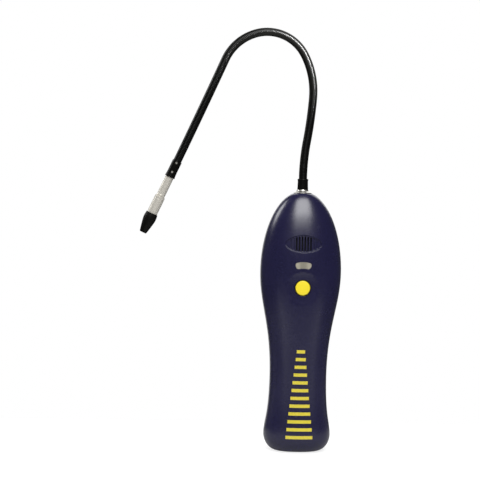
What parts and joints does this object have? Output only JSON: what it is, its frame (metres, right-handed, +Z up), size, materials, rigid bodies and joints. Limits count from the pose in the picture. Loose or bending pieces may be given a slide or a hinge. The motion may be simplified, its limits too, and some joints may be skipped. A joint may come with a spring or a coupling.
{
  "type": "refrigerant leak detector",
  "caption": "Handheld refrigerant leak detector: egg-headed grip housing with sounder grille, lamp lens and power key, and a gooseneck probe ending in a sensor tip.",
  "frame": {"origin": "middle of the flat foot that the housing stands on", "axes": "+Z up along the housing, front with the key toward -Y, probe arches toward -X"},
  "size_m": [0.1723, 0.048, 0.3595],
  "materials": {
    "navy_shell": "satin moulded",
    "yellow_key": "satin",
    "lens": "translucent",
    "led_epoxy": "clear",
    "black_plastic": "satin",
    "black_sleeve": "matte",
    "black_neck": "gloss black coating on wound steel",
    "bright_metal": "brushed",
    "screw_steel": "plated",
    "contact_steel": "nickel plated",
    "board": "solder mask",
    "white_plastic": "satin",
    "cell_jacket": "plain printed film over the can",
    "lead_jacket": "matte",
    "sensor_can": "plated"
  },
  "bodies": {
    "housing": {"front_housing": "navy_shell", "rear_housing": "navy_shell", "housing_screws": "screw_steel", "switch_body": "contact_steel", "indicator_lens": "lens", "indicator_led": "led_epoxy", "sounder": "black_plastic", "circuit_board": "board", "board_screws": "screw_steel", "board_chips": "black_plastic", "lead_connector": "white_plastic", "battery_tray": "black_plastic", "cell_lower": "cell_jacket", "cell_upper": "cell_jacket", "spring_contact": "contact_steel", "plate_contact": "contact_steel", "probe_collar": "bright_metal", "lock_nut": "screw_steel", "base_sleeve": "black_sleeve", "gooseneck": "black_neck", "sensor_lead": "lead_jacket", "tip_sleeve": "black_sleeve", "sensor_socket": "bright_metal", "sensor_barrel": "bright_metal", "sensor_element": "sensor_can"},
    "button": {"power_button": "yellow_key", "switch_plunger": "black_plastic"},
    "door": {"battery_door": "navy_shell"},
    "guard": {"tip_guard": "black_plastic"}
  },
  "joints": [
    {"name": "button_press", "type": "slide", "parent": "housing", "child": "button", "axis": [0, 1, 0], "range_m": [0, 0.001], "stiffness_N_per_m": 800},
    {"name": "battery_door_hinge", "type": "hinge", "parent": "housing", "child": "door", "pos_m": [0, 0.02299, 0.0146], "axis": [-1, 0, 0], "range_deg": [0, 75]},
    {"name": "tip_guard_pull", "type": "slide", "parent": "housing", "child": "guard", "axis": [-0.4179, 0, -0.9085], "range_m": [0, 0.025]}
  ]
}
